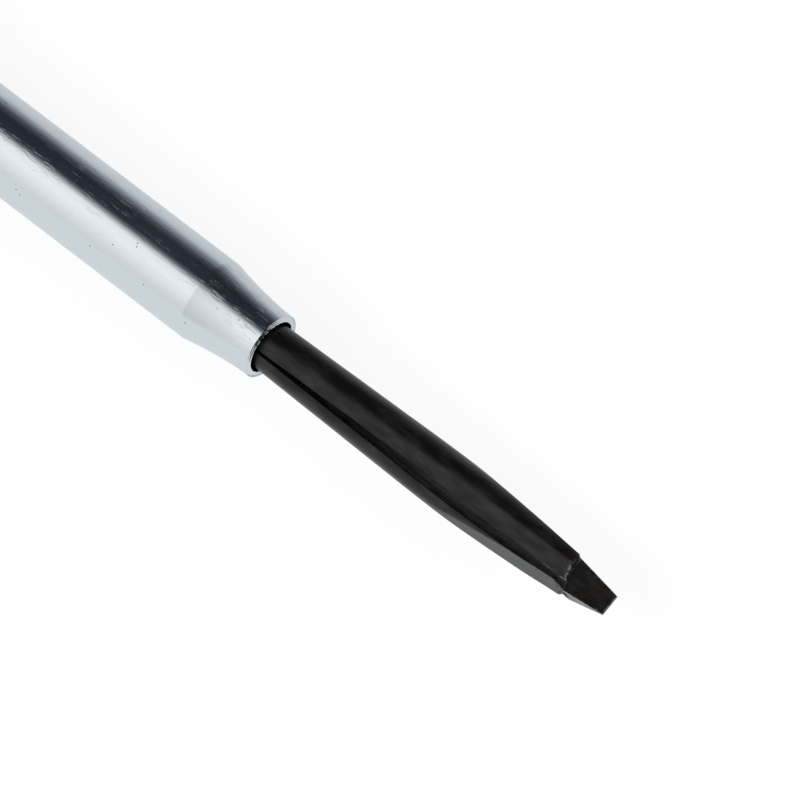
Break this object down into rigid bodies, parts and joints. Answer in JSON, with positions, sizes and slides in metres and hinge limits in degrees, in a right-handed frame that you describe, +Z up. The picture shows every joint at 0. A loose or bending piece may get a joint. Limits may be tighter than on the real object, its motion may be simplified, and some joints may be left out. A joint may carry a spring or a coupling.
{
  "type": "screw-holding screwdriver",
  "caption": "Slotted screwdriver with a split black blade of half-round bars and a bright sliding sleeve that makes the tip wedge in a screw slot, on a fluted handle.",
  "frame": {"origin": "centre of the flat butt face of the handle", "axes": "+X along the tool's axis towards the blade tip, +Y along the handle's cross pin, +Z up; the tip's flats lean 12 degrees about X"},
  "size_m": [0.2269, 0.027, 0.0266],
  "materials": {
    "bright_zinc": "bright zinc plate, fine scratches",
    "black_oxide": "black oxide, satin",
    "plain_steel": "turned",
    "bush_brass": "turned",
    "black_rubber": "moulded",
    "handle_acetate": "moulded, polished",
    "cap_plastic": "moulded, fine texture"
  },
  "bodies": {
    "handle_and_shank": {"butt_cap": "cap_plastic", "handle": "handle_acetate", "ferrule": "bright_zinc", "tang_pin": "plain_steel", "bumper_washer": "black_rubber", "shank": "plain_steel", "stop_ring": "black_oxide", "pivot_pin": "plain_steel"},
    "sleeve_carriage": {"friction_ring": "black_rubber"},
    "sleeve": {"sleeve_tube": "bright_zinc", "guide_bush": "bush_brass", "thumb_collar": "bright_zinc", "collar_screw_left": "black_oxide", "collar_screw_right": "black_oxide"},
    "upper_blade": {"upper_blade_half": "black_oxide"},
    "lower_blade": {"lower_blade_half": "black_oxide"}
  },
  "joints": [
    {"name": "sleeve_slide", "type": "slide", "parent": "handle_and_shank", "child": "sleeve_carriage", "axis": [1, 0, 0], "range_m": [0, 0.02]},
    {"name": "sleeve_spin", "type": "hinge", "parent": "sleeve_carriage", "child": "sleeve", "pos_m": [0.14, 0, 0], "axis": [1, 0, 0], "continuous": true},
    {"name": "upper_blade_pivot", "type": "hinge", "parent": "handle_and_shank", "child": "upper_blade", "pos_m": [0.16995, 0, 0], "axis": [0, 0.7071, -0.7071], "range_deg": [0, 0.5]},
    {"name": "lower_blade_pivot", "type": "hinge", "parent": "handle_and_shank", "child": "lower_blade", "pos_m": [0.16995, 0, 0], "axis": [0, -0.7071, 0.7071], "range_deg": [0, 0.5]}
  ],
  "couplings": [
    {"joint": "upper_blade_pivot", "follows": "sleeve_slide", "rad_per_m": 0.436},
    {"joint": "lower_blade_pivot", "follows": "sleeve_slide", "rad_per_m": 0.436}
  ]
}
